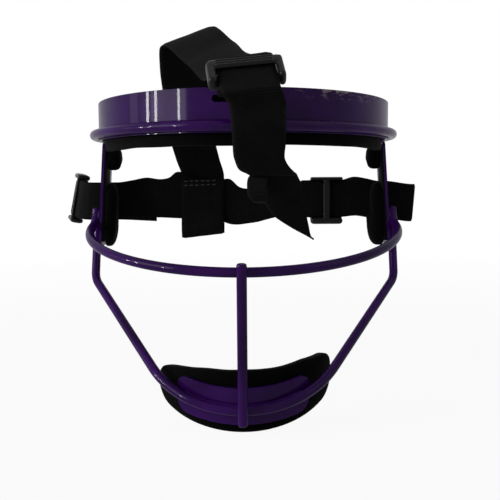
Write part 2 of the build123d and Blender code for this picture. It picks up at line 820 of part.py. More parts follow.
def sewn_loop_rows():
    """Edge places of the loop round the back strap, from its sewn end round to the rear."""
    reach = strap_thickness + sewn_loop_gap
    top_z = strap_centre_z + back_strap_width / 2
    foot_z = strap_centre_z - back_strap_width / 2 - sewn_loop_drop
    places = [
        (back_strap_y - reach, top_z + strap_thickness, 0),
        (back_strap_y - reach, (top_z + foot_z) / 2, 0),
        (back_strap_y - reach, foot_z + reach, 1),
        (back_strap_y - reach / 2, foot_z + reach / 4, 1),
        (back_strap_y + reach / 2, foot_z + reach / 4, 1),
        (back_strap_y + reach, foot_z + reach, 1),
        (back_strap_y + reach, (top_z + foot_z) / 2, 0),
        (back_strap_y + reach, top_z - strap_thickness, 0),
    ]
    rows = []
    for y, z, slant in places:
        rise = slant * sewn_loop_slant
        left = Vector(sewn_loop_x - top_strap_width / 2, y, z - rise)
        right = Vector(sewn_loop_x + top_strap_width / 2, y, z + rise)
        rows.append((left, right))
    return rows


def top_strap():
    """One length of webbing: sewn loop, rear run, fold, straight run in the adjuster, tail."""
    lefts = [left for left, right in sewn_loop_rows()]
    rights = [right for left, right in sewn_loop_rows()]
    loop_top = Vector(sewn_loop_x, back_strap_y, strap_centre_z + back_strap_width / 2 + 2 * strap_thickness)
    rear = share_points(loop_top, top_strap_width, rear_run_shares)
    front = share_points(top_adjuster_centre, top_strap_width, front_run_shares)
    straight = []
    middle = top_adjuster_centre + strap_side * top_strap_offset
    edge = strap_side * (top_strap_width / 2)
    above = (top_run_above + top_run_ease, top_run_above)
    below = (-top_run_below, -top_run_below - top_run_ease)
    for along in above + below:
        place = middle + strap_up * along
        straight.append((place - edge, place + edge))
    tail_origin = Vector(0, band_front_y - wire_diameter, 0)
    tail = share_points(tail_origin, top_strap_width, tail_shares)
    lefts += rear[0] + front[0] + [left for left, right in straight] + tail[0]
    rights += rear[1] + front[1] + [right for left, right in straight] + tail[1]
    return loft_rows(smooth(lefts), smooth(rights), strap_thickness)


save("brow_band", brow_band())
save("brow_rim_wire", brow_rim_wire())
save_pair("side_plate", side_plate())
save("cheek_bar", cheek_bar())
save("jaw_wire", jaw_wire())
save("nose_bar", nose_bar())
save("chin_plate", chin_plate())
save("chin_pad_tape", chin_tape())
save("chin_pad", chin_pad())
save("brow_pad_tape", brow_tape())
save("brow_pad", brow_pad())
save_pair("plate_tape", plate_tape())
save_pair("temple_pad", temple_pad())
save_pair("cheek_pad", cheek_pad())
save("back_strap", back_strap())
save("right_strap_adjuster", right_strap_adjuster())
save("left_strap_adjuster", left_strap_adjuster())
save("top_strap_adjuster", top_adjuster())
save("top_adjuster_anchor_loop", anchor_loop())
save("top_strap", top_strap())
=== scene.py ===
from math import acos, asin, atan2, ceil, copysign, cos, hypot, pi, radians, sin, sqrt, tan

import bpy
from mathutils import Matrix, Vector, noise


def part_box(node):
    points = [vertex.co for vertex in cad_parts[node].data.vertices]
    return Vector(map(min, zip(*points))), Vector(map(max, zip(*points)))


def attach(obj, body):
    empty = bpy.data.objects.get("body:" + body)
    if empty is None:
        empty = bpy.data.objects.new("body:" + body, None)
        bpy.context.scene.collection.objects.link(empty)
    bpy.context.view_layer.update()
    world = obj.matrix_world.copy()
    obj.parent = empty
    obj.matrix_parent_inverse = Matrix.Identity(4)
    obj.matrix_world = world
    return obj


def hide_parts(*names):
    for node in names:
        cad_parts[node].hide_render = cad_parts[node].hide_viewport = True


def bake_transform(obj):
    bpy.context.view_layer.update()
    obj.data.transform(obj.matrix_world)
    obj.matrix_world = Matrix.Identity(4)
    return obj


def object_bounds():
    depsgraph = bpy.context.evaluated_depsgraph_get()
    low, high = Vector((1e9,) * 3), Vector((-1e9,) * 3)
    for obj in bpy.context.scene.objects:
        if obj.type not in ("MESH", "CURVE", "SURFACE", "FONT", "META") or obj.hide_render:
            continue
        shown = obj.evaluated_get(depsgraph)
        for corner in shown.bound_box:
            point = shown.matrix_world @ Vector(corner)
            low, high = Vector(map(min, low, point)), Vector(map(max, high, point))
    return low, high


# Looks of the fielder's face guard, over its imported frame. +X is the viewer's right, the front
# faces -Y and +Z is up. Lengths are in mm, which mesh_object turns into Blender's metres. Only
# what goes straight to a material, a modifier, a lamp or the camera is in metres.

mm = 0.001
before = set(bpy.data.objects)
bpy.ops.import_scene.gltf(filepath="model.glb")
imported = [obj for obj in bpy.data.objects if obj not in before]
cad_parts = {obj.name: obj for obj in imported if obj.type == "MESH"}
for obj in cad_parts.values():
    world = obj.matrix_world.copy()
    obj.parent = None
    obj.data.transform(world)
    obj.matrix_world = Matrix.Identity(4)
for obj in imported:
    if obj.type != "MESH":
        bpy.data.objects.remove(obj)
cad_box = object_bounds()
hands = {"right": 1, "left": -1}


def at(x, y, z):
    """Place or way."""
    return Vector((x, y, z))


def box(node):
    """Low and high corner of a CAD node."""
    return [[size / mm for size in corner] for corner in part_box(node)]


aside, rear, up = at(1, 0, 0), at(0, 1, 0), at(0, 0, 1)

# Sizes read from the frame
(_, band_front_y, band_bottom_z), (band_half_width, band_end_y, band_top_z) = box("brow_band")
brow_pad_low, brow_pad_high = box("brow_pad")
wire_radius = -box("brow_rim_wire")[0][2]

# Sheets, tapes and their gaps
sheet_thickness = 1.6
tape_thickness = 1.3
tape_inset = sheet_thickness + 0.03
pad_inset = sheet_thickness + tape_thickness + 0.3
weld_gap = 0.1
band_rail_height = 3.4
rim_end_y = band_end_y - 2

# Side plates
plate_bend_z = band_bottom_z - 0.4
plate_lean = radians(3.7)
plate_outer_x = band_half_width - sheet_thickness
plate_tape_width = 12.6
plate_tape_y = 1.4 + plate_tape_width / 2

# Straps
strap_thickness = 1.3
layer_pitch = 1.8
strap_z = -36.5
strap_width = 22
strap_y = 18
slot_y = strap_y + layer_pitch / 2
return_y = strap_y + layer_pitch
top_strap_width = 25

# Places in the middle of the wires, on the left half
cheek_side = at(-85.2, -3, -50)
cheek_front = at(0, -92.5, -66.1)
jaw_corner = at(-85.3, 1, -80.5)
bow_start = at(-45.5, -60.4, -117.6)
bow_front = at(0, -84.4, -133)

# The band's outer face and the chin cup's in plan: the centre's Y, and half the size in X and Y
band_centre_y = 13.5
band_curve = (band_centre_y, band_half_width, band_centre_y - band_front_y)
chin_radius = 54
cup_radius = chin_radius - wire_radius - weld_gap
chin_axis_y = bow_front.y + chin_radius
chin_curve = (chin_axis_y, cup_radius, cup_radius)


# Small helpers

def give(thing, **settings):
    """Set named properties."""
    for key, value in settings.items():
        setattr(thing, key, value)
    return thing


def even(end, count):
    """Even steps from 0 to an end."""
    return [end * step / count for step in range(count + 1)]


def arc(turn, count, start=0):
    """(cosine, sine) at even steps of a turn."""
    return [(cos(start + part), sin(start + part)) for part in even(turn, count)]


def circle(sides):
    """(cosine, sine) round a circle."""
    return arc(2 * pi, sides)[:-1]


def squared(share, squareness):
    """A cosine or sine of a circle made squarer."""
    return copysign(abs(share) ** (2 / squareness), share)


def wave(place, size, strength):
    """Slow random swell at a place."""
    return noise.noise(Vector(place) / size) * strength


def rounding(distance, radius):
    """How far a round corner draws back at a distance from the end."""
    if distance >= radius:
        return 0.0
    return radius - sqrt(max(0.0, radius**2 - (radius - distance) ** 2))


# Meshes

def new_object(name, data):
    """Object in the scene."""
    made = bpy.data.objects.new(name, data)
    bpy.context.scene.collection.objects.link(made)
    return made


def mesh_object(name, points, faces, material):
    """Smooth mesh of one material."""
    mesh = bpy.data.meshes.new(name)
    mesh.from_pydata([Vector(point) * mm for point in points], [], faces, shade_flat=False)
    mesh.validate()
    mesh.materials.append(material)
    return new_object(name, mesh)


def mesh_piece(name, node, points, faces, finish, body="guard"):
    """Mesh for a CAD node, or added, attached to a body where one is given."""
    piece = mesh_object(name, points, faces, materials[finish])
    if body:
        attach(piece, body)
    if node:
        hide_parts(node)
    return piece


def modify(piece, name, kind, **settings):
    """Add a modifier."""
    give(piece.modifiers.new(name, kind), **settings)


def closed_faces(rings, count, first=0):
    """Quads between rings of points in a row, and a face at each end."""
    last = first + (rings - 1) * count
    faces = []
    for low in range(first, last, count):
        for column in range(count):
            beside = (column + 1) % count
            faces.append((low + column, low + beside, low + count + beside, low + count + column))
    return faces + [tuple(range(first + count - 1, first - 1, -1)), tuple(range(last, last + count))]


def loft(name, node, rings, finish, body="guard"):
    """Piece from closed rings of matching points."""
    points = [point for ring in rings for point in ring]
    return mesh_piece(name, node, points, closed_faces(len(rings), len(rings[0])), finish, body)


# Paths

def run_at(path, index):
    """Way along a path at a place."""
    return path[min(index + 1, len(path) - 1)] - path[max(index - 1, 0)]


def tube_rings(path, radii, sides=12):
    """Round sections along a path, turned as little as can be."""
    run = run_at(path, 0).normalized()
    side = run.cross(up if abs(run.z) < 0.9 else rear)
    rings = []
    for index, (place, radius) in enumerate(zip(path, radii)):
        run = run_at(path, index).normalized()
        side = (side - run * side.dot(run)).normalized()
        rise = side.cross(run)
        rings.append([place + (side * x + rise * y) * radius for x, y in circle(sides)])
    return rings


def bezier(first, second, third, last, count=60):
    """Places along a cubic curve."""
    pairs = [(share, 1 - share) for share in even(1, count)]
    return [first * s**3 + second * (3 * s**2 * t) + third * (3 * s * t**2) + last * t**3 for t, s in pairs]


def resample(path, step=0.8):
    """Evenly spaced places along straight runs."""
    dense = [path[0]]
    for start, finish in zip(path, path[1:]):
        count = max(1, round((finish - start).length / step))
        dense += [start.lerp(finish, share) for share in even(1, count)[1:]]
    return dense


def round_corner(before, corner, after, radius):
    """Arc in place of a corner between two straight runs."""
    into = (corner - before).normalized()
    out = (after - corner).normalized()
    turn = into.angle(out)
    start = corner - into * radius * tan(turn / 2)
    inward = (out - into * into.dot(out)).normalized()
    return [start + inward * radius * (1 - x) + into * radius * y for x, y in arc(turn, 12)]


def mirrored(path):
    """The same path on the other side, run the other way."""
    return [at(-place.x, place.y, place.z) for place in reversed(path)]


# Places on the guard

def ray(angle):
    """Unit way in plan, at an angle from the front to the right."""
    return at(sin(angle), -cos(angle), 0)


def inside(curve, inset, angle):
    """Place in plan inside the band's or the chin cup's curve, at an angle."""
    centre_y, half_x, half_y = curve
    return at((half_x - inset) * sin(angle), centre_y - (half_y - inset) * cos(angle), 0)


def lean_out(side, x, y, z):
    """Place on the right-hand plate, turned to its slope, or mirrored onto the left one."""
    across, height = x - plate_outer_x, z - plate_bend_z
    x = plate_outer_x + across * cos(plate_lean) - height * sin(plate_lean)
    return at(side * x, y, plate_bend_z + height * cos(plate_lean) + across * sin(plate_lean))


def plate_outer_at(z):
    """Outer face of the right-hand plate at a height."""
    return plate_outer_x + max(0, plate_bend_z - z) * tan(plate_lean)


def beside_plate(y, z):
    """Centre of a wire on the left-hand plate's outer face."""
    return at(-plate_outer_at(z) - (wire_radius + weld_gap) / cos(plate_lean), y, z)


# Materials: each finish's slot in the record, and the colours at the ends of its ramp

palette = {
    "enamel": ("frame_enamel", (0.022, 0.0014, 0.06), (0.046, 0.005, 0.122)),
    "foam": ("pad_foam", (0.00032, 0.00032, 0.0004), (0.00152, 0.00152, 0.00168)),
    "tape": ("loop_tape", (0.00152, 0.00152, 0.00168), (0.00032, 0.00032, 0.0004)),
    "webbing": ("strap_webbing", (0.00126, 0.00126, 0.0014), (0.01008, 0.01008, 0.01036)),
    # A lighter copy of the webbing for the tail's turned edge: painted highlight where that edge catches
    # the light
    "webbing_painted_lit": ("strap_webbing", (0.003, 0.003, 0.0031), (0.021, 0.021, 0.022)),
    "thread": ("strap_webbing", (0.01008, 0.01008, 0.01036), (0.0065, 0.0065, 0.007)),
    "plastic": ("adjuster_plastic", (0.0012, 0.0012, 0.0013), (0.003, 0.003, 0.0033)),
}
materials = {}


class Shade:
    """The nodes of a material or of the room."""

    def __init__(self, owner):
        owner.use_nodes = True
        self.tree = owner.node_tree

    def connect(self, node, values):
        """Fill inputs, each with a number, a colour or another node's output."""
        for key, value in values.items():
            if isinstance(value, bpy.types.NodeSocket):
                self.tree.links.new(value, node.inputs[key])
            else:
                node.inputs[key].default_value = value
        return node.outputs

    def add(self, kind, values, **settings):
        """Add a node."""
        return self.connect(give(self.tree.nodes.new("ShaderNode" + kind), **settings), values)

    def maths(self, operation, *terms):
        """A sum on up to three values."""
        return self.add("Math", dict(enumerate(terms)), operation=operation)[0]

    def spread(self, value, low, high, start=0.0, end=1.0):
        """A value from start to end turned into the range from low to high."""
        values = {"Value": value, "From Min": start, "From Max": end, "To Min": low, "To Max": high}
        return self.add("MapRange", values)[0]

    def seen(self):
        """1 for rays from the camera, also by way of gloss or through glass."""
        rays = self.add("LightPath", {})
        either = self.maths("MAXIMUM", rays["Is Camera Ray"], rays["Is Glossy Ray"])
        return self.maths("MAXIMUM", either, rays["Is Transmission Ray"])

    def mix(self, share, plain, shown, output):
        """Surface that goes from one shader to another by a share."""
        mixed = self.add("MixShader", {0: share, 1: plain, 2: shown})[0]
        self.connect(self.tree.nodes[output], {"Surface": mixed})


class Finish(Shade):
    """A material of the object, with patterns by the place on it."""

    def __init__(self, name):
        materials[name] = bpy.data.materials.new(name)
        super().__init__(materials[name])
        self.colours = palette[name][1:]
        self.place = self.add("TexCoord", {})["Object"]

    def noise(self, scale, detail=2.0, roughness=0.5, place=None):
        """Random pattern with features of one over the scale, in metres."""
        values = {"Vector": place or self.place, "Scale": scale, "Detail": detail, "Roughness": roughness}
        return self.add("TexNoise", values)[0]

    def ramp(self, value, start=0.3, end=0.7):
        """Colour that goes from one end of the ramp to the other."""
        made = self.tree.nodes.new("ShaderNodeValToRGB")
        for element, place, colour in zip(made.color_ramp.elements, (start, end), self.colours):
            give(element, position=place, color=(*colour, 1))
        return self.connect(made, {"Fac": value})[0]

    def bump(self, height, depth, below=None):
        """Relief of a depth, on top of another one where there is one."""
        values = {"Height": height, "Distance": depth * mm, "Strength": 1.0}
        if below:
            values["Normal"] = below
        return self.add("Bump", values)[0]

    def shader(self, colour, roughness, normal, **plain):
        """Fill the shader. The plain values are the same all over."""
        values = {"Base Color": colour, "Roughness": roughness, "Normal": normal}
        values |= {key.replace("_", " "): value for key, value in plain.items()}
        self.connect(self.tree.nodes["Principled BSDF"], values)


def make_enamel():
    """Gloss purple enamel with the soft ripple of a sprayed coat, and scuffs."""
    coat = Finish("enamel")
    scuffs = make_scuffs(coat)
    values = {"Factor": scuffs, "A": coat.ramp(coat.noise(38)), "B": (0.34, 0.27, 0.29, 1)}
    colour = coat.add("Mix", values, data_type="RGBA")["Result"]
    gloss = coat.spread(coat.noise(90, detail=4.0), 0.22, 0.36)
    roughness = coat.maths("MULTIPLY_ADD", scuffs, 0.3, gloss)
    normal = coat.bump(coat.noise(1400), 0.004, coat.bump(coat.noise(170, detail=1.0), 0.05))
    coat.shader(
        colour, roughness, normal,
        Coat_Weight=0.14, Coat_Roughness=0.03, Coat_IOR=1.45, Specular_IOR_Level=0.01,
    )


def make_scuffs(coat):
    """Rubbed flecks, long along the band, in a patch below its upper edge on the right."""
    middle_x, half_length = 0.046, 0.024
    low, high = (band_top_z - 5.5) * mm, (band_top_z - 1) * mm
    stretch = {0: coat.place, 1: (0.35, 0.35, 1.0)}
    long_places = coat.add("VectorMath", stretch, operation="MULTIPLY")[0]
    fleck = coat.noise(620, detail=5.0, roughness=0.65, place=long_places)
    where = coat.add("SeparateXYZ", {"Vector": coat.place})
    height = coat.spread(where["Z"], 0, 1, low, high)
    along = coat.maths("ABSOLUTE", coat.maths("SUBTRACT", where["X"], middle_x))
    patch = coat.maths("MULTIPLY", height, coat.spread(along, 0, 1, half_length, half_length * 0.4))
    return coat.maths("MULTIPLY", coat.spread(fleck, 0, 1, 0.52, 0.64), patch)


def make_foam():
    """Closed-cell cushion under a fine knitted face, matt black."""
    foam = Finish("foam")
    grain = foam.noise(1500, detail=3.0, roughness=0.6)
    normal = foam.bump(grain, 0.14, foam.bump(foam.noise(120), 0.35))
    foam.shader(
        foam.ramp(grain), foam.spread(grain, 0.78, 0.95), normal,
        Sheen_Weight=0.008, Sheen_Roughness=0.5, Specular_IOR_Level=0.03,
    )


def make_tape():
    """Loop tape: a low pile of fine loops."""
    tape = Finish("tape")
    cells = tape.add("TexVoronoi", {"Vector": tape.place, "Scale": 1700.0})[0]
    pile = tape.noise(2600, detail=3.0)
    tape.shader(
        tape.ramp(cells, 0.1, 0.6), tape.spread(pile, 0.8, 0.98),
        tape.bump(tape.maths("ADD", cells, pile), 0.25),
        Sheen_Weight=0.04, Sheen_Roughness=0.4, Specular_IOR_Level=0.1,
    )


def make_webbing(name):
    """Woven elastic: ribs across the strap, fine wales along it and a little lint."""
    rib_pitch, wale_pitch = 1.05, 0.9
    cloth = Finish(name)
    weave = cloth.add("Attribute", {}, attribute_name="weave")["Vector"]
    where = cloth.add("SeparateXYZ", {"Vector": weave})
    along = cloth.maths("MULTIPLY_ADD", cloth.noise(160), rib_pitch * 0.5, where["Y"])
    rib = cloth.maths("SINE", cloth.maths("MULTIPLY", along, 2 * pi / rib_pitch))
    wale = cloth.maths("SINE", cloth.maths("MULTIPLY", where["X"], 2 * pi / wale_pitch))
    lint = cloth.noise(3200, detail=3.0, roughness=0.7)
    relief = cloth.maths("ADD", cloth.spread(rib, 0.0, 0.5), cloth.spread(wale, 0.0, 0.22))
    height = cloth.maths("MULTIPLY_ADD", lint, 0.45, relief)
    worn = cloth.maths("MULTIPLY", cloth.noise(60, detail=3.0), 0.5)
    tone = cloth.maths("MULTIPLY_ADD", height, 0.6, worn)
    cloth.shader(
        cloth.ramp(tone, 0.25, 0.95), cloth.spread(lint, 0.7, 0.95), cloth.bump(height, 0.16),
        Sheen_Weight=0.008, Sheen_Roughness=0.45, Specular_IOR_Level=0.04,
    )


def make_thread():
    """Twisted sewing thread."""
    thread = Finish("thread")
    twist = thread.noise(5000, detail=1.0)
    roughness = thread.spread(twist, 0.5, 0.7)
    thread.shader(
        thread.ramp(twist), roughness, thread.bump(twist, 0.05), Sheen_Weight=0.2, Sheen_Roughness=0.4,
    )


def make_plastic():
    """Moulded black plastic with a fine spark-eroded skin."""
    plastic = Finish("plastic")
    flow = plastic.noise(110, detail=3.0)
    normal = plastic.bump(plastic.noise(3600), 0.025, plastic.bump(flow, 0.05))
    plastic.shader(plastic.ramp(flow), plastic.spread(flow, 0.3, 0.46), normal, Specular_IOR_Level=0.13)


make_enamel()
make_foam()
make_tape()
make_webbing("webbing")
# Lighter copy of the webbing: painted highlight on the tail's turned edge
make_webbing("webbing_painted_lit")
make_thread()
make_plastic()


# Frame sheets

def round_edges(piece):
    """Soften a sheet's cut edges."""
    modify(
        piece, "edge_round", "BEVEL", width=0.5 * mm, segments=3, limit_method="ANGLE",
        angle_limit=radians(50), harden_normals=True,
    )


def dress_plate(node):
    """Enamel a side plate of the CAD part, and round its edges."""
    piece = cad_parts[node]
    piece.data.materials.clear()
    piece.data.materials.append(materials["enamel"])
    modify(piece, "one_skin", "WELD", merge_threshold=0.001 * mm)
    modify(piece, "flat_sides", "DECIMATE", decimate_type="DISSOLVE", angle_limit=radians(1.5))
    round_edges(piece)


def curved_sheet(name, node, columns, hole=None):
    """Pressed sheet from columns of points, without the faces in a hole."""
    rows = len(columns[0])
    faces = []
    for column in range(len(columns) - 1):
        for row in range(rows - 1):
            if hole and hole(column, row):
                continue
            low = column * rows + row
            faces.append((low, low + rows, low + rows + 1, low + 1))
    piece = mesh_piece(name, node, [point for column in columns for point in column], faces, "enamel")
    modify(piece, "sheet", "SOLIDIFY", thickness=sheet_thickness * mm, offset=-1, use_even_offset=True)
    round_edges(piece)


def band_line():
    """Band's outer face in plan, as (distance from the front, place) to the right-hand end."""
    places = [inside(band_curve, 0, angle) for angle in even(pi / 2, 720)]
    line = [(0.0, places[0])]
    for place in places[1:] + [at(band_half_width, band_end_y, 0)]:
        line.append((line[-1][0] + (place - line[-1][1]).length, place))
    return line


def place_on(line, distance):
    """Place at a distance along that line, to the left where it is negative."""
    reach = abs(distance)
    (before, start), (after, finish) = next(pair for pair in zip(line, line[1:]) if pair[1][0] >= reach)
    place = start.lerp(finish, (reach - before) / (after - before))
    return at(copysign(place.x, distance), place.y, 0)


def make_band():
    """Brow band with its strap slot and rounded rear corners."""
    corner, half_slot, slot_corner, slot_height, slot_row = 6, 13, 1.5, 3.2, 6
    slot_top = band_top_z - band_rail_height
    slot_bottom = slot_top - slot_height
    slot_middle, half_slit = (slot_top + slot_bottom) / 2, 0.03
    line = band_line()
    length = line[-1][0]
    ends = [length - corner * share for share in (0, 0.03, 0.12, 0.27, 0.5, 0.75, 1)]
    slot_ends = [half_slot - slot_corner * share for share in (0, 0.12, 0.35, 0.7, 1)]
    between = [ends[-1] - reach for reach in even(ends[-1] - half_slot, 60)[1:-1]]
    middle = [slot_ends[-1] - reach for reach in even(slot_ends[-1], 6)[1:-1]]
    right = ends + between + slot_ends + middle
    places = [-place for place in right] + [0.0] + right[::-1]
    columns = []
    for place in places:
        draw = rounding(length - abs(place), corner)
        bottom, top = band_bottom_z + draw, band_top_z - draw
        share = (top - bottom) / (band_top_z - band_bottom_z)
        lower = bottom + (slot_bottom - band_bottom_z) * share
        upper = bottom + (slot_top - band_bottom_z) * share
        if abs(place) <= half_slot:
            shrink = rounding(half_slot - abs(place), slot_corner)
            lower = min(slot_bottom + shrink, slot_middle - half_slit)
            upper = max(slot_top - shrink, slot_middle + half_slit)
        heights = [bottom + rise for rise in even(lower - bottom, slot_row)]
        heights += [upper + rise for rise in even(top - upper, 2)]
        columns.append([place_on(line, place) + up * z for z in heights])

    def in_slot(column, row):
        return row == slot_row and abs(places[column] + places[column + 1]) / 2 < half_slot

    curved_sheet("brow_band_sheet", "brow_band", columns, in_slot)


def make_chin_cup():
    """Curved cup behind the jaw wire, its ends raised and rounded."""
    half, height, middle_lift, end_lift, corner = box("chin_plate")[1][0], 17.7, 10.2, 5, 5
    columns = []
    for share, _ in arc(pi, 90):
        x = -half * share
        top = bow_front.z + middle_lift + end_lift * share**2
        draw = rounding(half - abs(x), corner)
        place = inside(chin_curve, 0, asin(x / cup_radius)) + up * (top - height + draw)
        columns.append([place + up * rise for rise in even(height - 2 * draw, 8)])
    curved_sheet("chin_cup_sheet", "chin_plate", columns)


# Wires

def make_wire(name, node, path):
    """Round wire along a path, its cut ends rounded."""
    end_round = 0.45 * wire_radius

    def cut_end(end, beside):
        reach = (beside - end).normalized() * end_round
        return [end + reach * share for share in (0.0, 0.04, 0.15, 0.35, 0.65, 1.0)]

    def end_distance(place):
        return min((place - path[0]).length, (place - path[-1]).length)

    places = cut_end(path[0], path[1])
    places += [place for place in path if end_distance(place) > end_round * 1.1]
    places += reversed(cut_end(path[-1], path[-2]))
    radii = [wire_radius - rounding(end_distance(place), end_round) for place in places]
    loft(name, node, tube_rings(places, radii, 28), "enamel")


def ring_path(inset, z):
    """The head opening at an inset and a height, from the left end round to the right one."""
    end = at(band_half_width - inset, rim_end_y, 0)
    round_front = [inside(band_curve, inset, turn - pi / 2) for turn in even(pi, 420)]
    leg = resample([round_front[-1], end])[1:]
    return [place + up * z for place in mirrored(leg) + round_front + leg]


def cheek_path():
    """Wire from plate to plate round the front, its ends turned up."""
    handle = 5.5
    end = beside_plate(y=4.5, z=-40)
    centre = at(0, cheek_side.y, cheek_side.z)
    forward = cheek_front - centre
    back = -forward.normalized()
    rise = at(0, back.z, 2 * back.y).normalized()
    left = bezier(end, end - rise * handle, cheek_side + back * handle, cheek_side)
    left += [centre + aside * cheek_side.x * x + forward * y for x, y in arc(pi / 2, 210)[1:-1]]
    return left + [cheek_front] + mirrored(left)


def bow_path():
    """Left half of the jaw wire's bow, from its start to the front."""
    run = bow_start - jaw_corner
    handle = 18.5
    second = bow_start + run * (handle / hypot(run.x, run.y))
    return bezier(bow_start, second, bow_front - aside * handle, bow_front)


def jaw_path():
    """Wire down both plates, forward along the jaw and round the chin."""
    top, foot = beside_plate(11.5, -41), beside_plate(10.5, -60)
    bends = round_corner(top, foot, jaw_corner, radius=30)
    bends += round_corner(foot, jaw_corner, bow_start, radius=12)
    left = resample([top, *bends, bow_start])[:-1] + bow_path()
    return left + mirrored(left[:-1])


def nose_path():
    """Straight bar in front of the cheek bar and the jaw wire."""
    offset = rear * (2 * wire_radius + weld_gap)
    top, foot = cheek_front - offset, bow_front - offset
    down = (foot - top).normalized()
    over, under = 4.7, 6
    return resample([top - down * over, foot + down * under])


# Welds: smooth beads under the enamel

bead_radius = 0.9
notch = wire_radius * 0.74


def bead(name, path, radius=bead_radius):
    """Weld bead along a path, rippled and drawn in at its ends."""
    ripple = 1.5
    dense = resample(path, ripple / 4)
    radii = []
    travelled = 0.0
    for index, place in enumerate(dense):
        travelled += (place - dense[max(index - 1, 0)]).length
        end = min(index, len(dense) - 1 - index) / 4
        radii.append(radius * min(1.0, 0.35 + 0.65 * end) * (1 + 0.07 * sin(2 * pi * travelled / ripple)))
    loft(name, None, tube_rings(dense, radii), "enamel")


def bead_pair(name, words, path, offset, radius=bead_radius):
    """Beads on both sides of a path."""
    for word, way in zip(words, (offset, -offset)):
        bead(f"{name}_{word}", [place + way for place in path], radius)


def plate_beads(name, side, ends):
    """Beads beside a wire on a plate, between places along Y and Z."""
    path = [at(side * (plate_outer_at(z) + bead_radius * 0.45), y, z) for y, z in ends]
    bead_pair(name, ("front", "rear"), path, rear * wire_radius * -0.78)


def crossing_beads(name, crossing):
    """Beads above and below a level wire where the nose bar crosses it."""
    path = [crossing + at(x, -1.32, 0) * wire_radius for x in (-0.9, 0.9)]
    bead_pair(name, ("upper", "lower"), path, up * wire_radius * 0.72, bead_radius * 0.8)


def make_chin_welds():
    """Seams above and below the jaw wire, along the chin plate."""
    half, reach = bow_path(), 29
    path = []
    for place in half + mirrored(half[:-1]):
        if abs(place.x) <= reach:
            out = at(place.x, place.y - chin_axis_y, 0).normalized()
            path.append(place - out * notch)
    bead_pair("chin_weld", ("upper", "lower"), path, up * notch)


for word, side in hands.items():
    dress_plate(f"{word}_side_plate")
    plate_beads(f"{word}_cheek_weld", side, [(4.5, -41), (2.9, -46.5)])
    plate_beads(f"{word}_jaw_weld", side, [(11.4, -42.5), (10.7, -57.5)])
make_wire("rim_wire_tube", "brow_rim_wire", ring_path(-wire_radius - weld_gap, 0.0))
make_wire("cheek_bar_tube", "cheek_bar", cheek_path())
make_wire("jaw_wire_tube", "jaw_wire", jaw_path())
make_wire("nose_bar_tube", "nose_bar", nose_path())
bead("rim_weld", ring_path(-wire_radius * 0.38, notch), radius=1.0)
crossing_beads("nose_cheek_weld", cheek_front)
crossing_beads("nose_jaw_weld", bow_front)
make_band()
make_chin_cup()
make_chin_welds()


# Cushions: a third of the foam lies behind the widest place

foam_thickness = 9
cushion_flat = foam_thickness * 0.34
cushion_full = foam_thickness * 0.66


def section(swell):
    """(depth, share of the half height) round a cushion, flat at the back."""
    places = []
    for inward, upward in circle(40):
        reach, squareness = (cushion_full * swell, 2.5) if inward > 0 else (cushion_flat, 7)
        places.append((squared(inward, squareness) * reach, squared(upward, squareness)))
    return places


def shares_along(steps, crowding):
    """Shares of a cushion's length, closer together near its ends."""
    return [share - sin(2 * pi * share) / (2 * pi) * crowding for share in even(1, steps)]


def end_size(distance):
    """Share of full size near a cushion's sewn end."""
    taper = 5
    return max(0.06, 1 - rounding(distance, taper) / taper)


def round_shoulder(inset, height):
    """Keep the cushion's upper outer corner clear of the loop through the band's slot."""
    shoulder = 4.4
    across = shoulder - inset
    rise = height - (brow_pad_high[2] - shoulder)
    if across <= 0 or rise <= 0:
        return inset, height
    share = min(1.0, shoulder / hypot(across, rise))
    return shoulder - across * share, height - rise * (1 - share)


def brow_span(inset):
    """Angle from the front to the brow pad's end, at an inset."""
    centre_y, _, half_y = band_curve
    return acos((centre_y - brow_pad_high[1]) / (half_y - inset))


def make_brow_cushion():
    """Forehead cushion along the inside of the band, hanging below the rim."""
    span = brow_span(pad_inset)
    length = span * sum(band_curve[1:])
    low, high = brow_pad_low[2], brow_pad_high[2]
    middle, half_height = (low + high) / 2, (high - low) / 2 * 0.985
    rings = []
    for share in shares_along(150, 0.5):
        angle = span * (2 * share - 1)
        size = end_size(min(share, 1 - share) * length)
        swell = 1 + wave((share * length, 0, 0), 22, 0.10)
        sag = wave((share * length, 7, 0), 30, 0.5)
        ring = []
        for depth, rise in section(swell):
            height = middle + rise * half_height * (0.55 + 0.45 * size)
            inset, height = round_shoulder(cushion_flat + depth * size, height)
            height += sag * (1 - rise) / 2
            ring.append(inside(band_curve, pad_inset, angle) - ray(angle) * inset + up * height)
        rings.append(ring)
    loft("brow_cushion", "brow_pad", rings, "foam")


def make_chin_cushion():
    """Thick cushion in the chin cup, its upper edge dipping in the middle."""
    left_reach, right_reach, radius = 43.2, 44.3, cup_radius - pad_inset
    left_end = -asin(left_reach / radius)
    span = asin(right_reach / radius) - left_end
    middle_top, middle_foot, foot_slope = -113.8, -145.4, 0.47
    dip, left_drop, right_lift = 1.6, 4.6, 3.4
    top_round, foot_round = 5.5, 9
    rings = []
    for share in shares_along(110, 0.7):
        along = share * span * radius
        end = min(share, 1 - share) * span * radius
        angle = left_end + span * share
        outer = inside(chin_curve, pad_inset, angle)
        across = outer.x / left_reach
        top = middle_top - dip * cos(across * pi / 2) - left_drop * max(0, -across) ** 4
        top += right_lift * min(0.74, max(0, across)) ** 2
        top += wave((along, 0, 0), 16, 0.5) - rounding(end, top_round)
        bottom = middle_foot + (outer.y - chin_axis_y + radius) * foot_slope
        bottom += rounding(end, foot_round) * 0.7
        swell = 1 + wave((along, 9, 0), 18, 0.12)
        ring = []
        for depth, rise in section(swell):
            height = (top + bottom) / 2 + rise * (top - bottom) / 2
            ring.append(outer - ray(angle) * (cushion_flat + depth) * end_size(end) + up * height)
        rings.append(ring)
    loft("chin_cushion", "chin_pad", rings, "foam")


